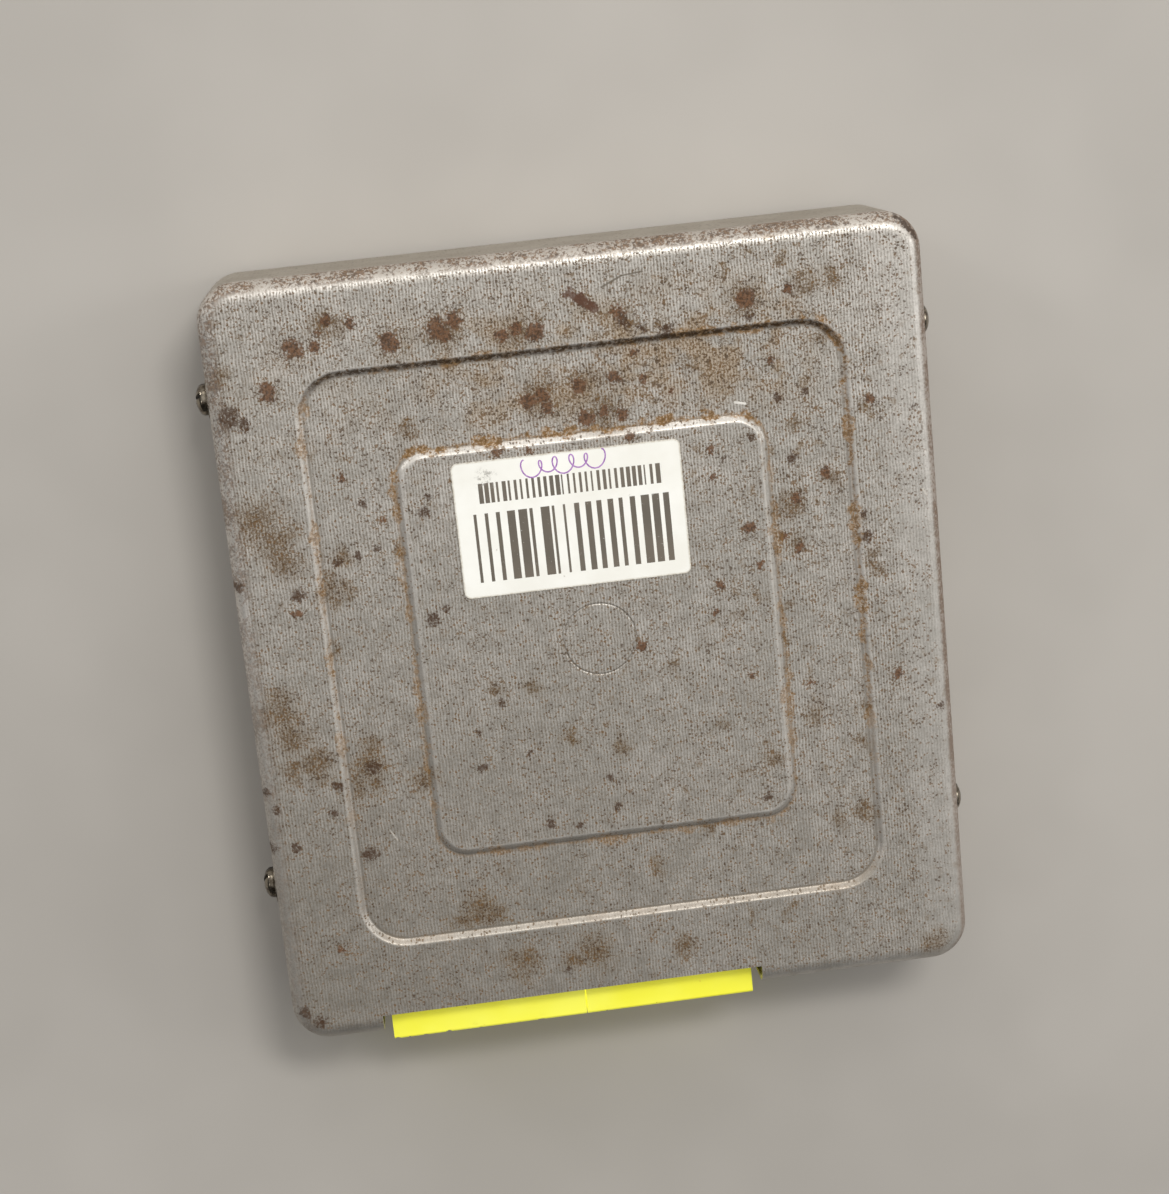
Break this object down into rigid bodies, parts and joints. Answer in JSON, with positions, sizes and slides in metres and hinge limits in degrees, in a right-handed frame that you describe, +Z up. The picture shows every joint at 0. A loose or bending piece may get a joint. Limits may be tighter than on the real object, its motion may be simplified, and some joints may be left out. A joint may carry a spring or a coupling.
{
  "type": "engine control unit",
  "caption": "Engine control unit in a drawn steel case, its pressed cover screwed over a tray, holding a circuit board, heat sink and yellow pin headers that face out through a cut-out.",
  "frame": {"origin": "Middle of the tray's underside, which is also the centre of the bracket hole pattern.", "axes": "+X runs along the plug edge to the right seen from the plugs, +Y runs from the plugs to the far wall, +Z is up through the cover."},
  "size_m": [0.1628, 0.176, 0.0321],
  "materials": {
    "case_steel": "dull coated sheet steel with fine rolling lines, speckled with rust",
    "screw_steel": "plated steel, worn",
    "header_plastic": "matte bright yellow moulding",
    "pin_brass": "tin-flashed brass",
    "board_green": "green lacquered glass-epoxy laminate",
    "standoff_brass": "bare turned brass",
    "sheet_film": "milky insulating film",
    "sink_aluminium": "plain milled aluminium",
    "device_plastic": "moulded black epoxy with a tinned tab and legs",
    "pad_rubber": "grey silicone pad",
    "chip_plastic": "moulded black epoxy with tinned legs",
    "chip_ceramic": "brown fired ceramic with a glass window",
    "hybrid_coating": "blue dipped coating on ceramic",
    "can_metal": "drawn nickel-plated can",
    "sleeve_blue": "dark blue shrunk sleeve",
    "film_red": "red dipped epoxy",
    "disc_tan": "tan phenolic dip",
    "resistor_tan": "beige lacquer with colour bands",
    "power_ceramic": "white cement-filled ceramic",
    "diode_black": "black epoxy with a pale cathode band",
    "ferrite": "dark grey ferrite",
    "copper_wire": "enamelled copper",
    "varistor_blue": "blue dipped epoxy",
    "spring_bronze": "phosphor bronze strip",
    "label_paper": "white paper, soiled at the edges"
  },
  "bodies": {
    "root": {"top_cover": "case_steel", "base_tray": "case_steel", "case_screws": "screw_steel", "case_screw_washers": "screw_steel", "clinch_nuts": "screw_steel", "left_plug_header": "header_plastic", "right_plug_header": "header_plastic", "left_header_pins": "pin_brass", "right_header_pins": "pin_brass", "header_screws": "screw_steel", "circuit_board": "board_green", "board_standoffs": "standoff_brass", "board_screws": "screw_steel", "insulating_sheet": "sheet_film", "heat_sink": "sink_aluminium", "heat_sink_screws": "screw_steel", "power_transistors": "device_plastic", "transistor_pads": "pad_rubber", "transistor_screws": "screw_steel", "voltage_regulator": "device_plastic", "microcontroller": "chip_plastic", "memory_socket": "chip_plastic", "memory_chip": "chip_ceramic", "driver_chips": "chip_plastic", "input_chips": "chip_plastic", "hybrid_modules": "hybrid_coating", "clock_crystal": "can_metal", "main_capacitor": "sleeve_blue", "small_capacitors": "sleeve_blue", "film_capacitors": "film_red", "disc_capacitors": "disc_tan", "resistors": "resistor_tan", "power_resistors": "power_ceramic", "diodes": "diode_black", "resistor_networks": "chip_plastic", "choke_cores": "ferrite", "choke_windings": "copper_wire", "surge_absorber": "varistor_blue", "ground_spring": "spring_bronze", "paper_label": "label_paper"}
  },
  "joints": []
}
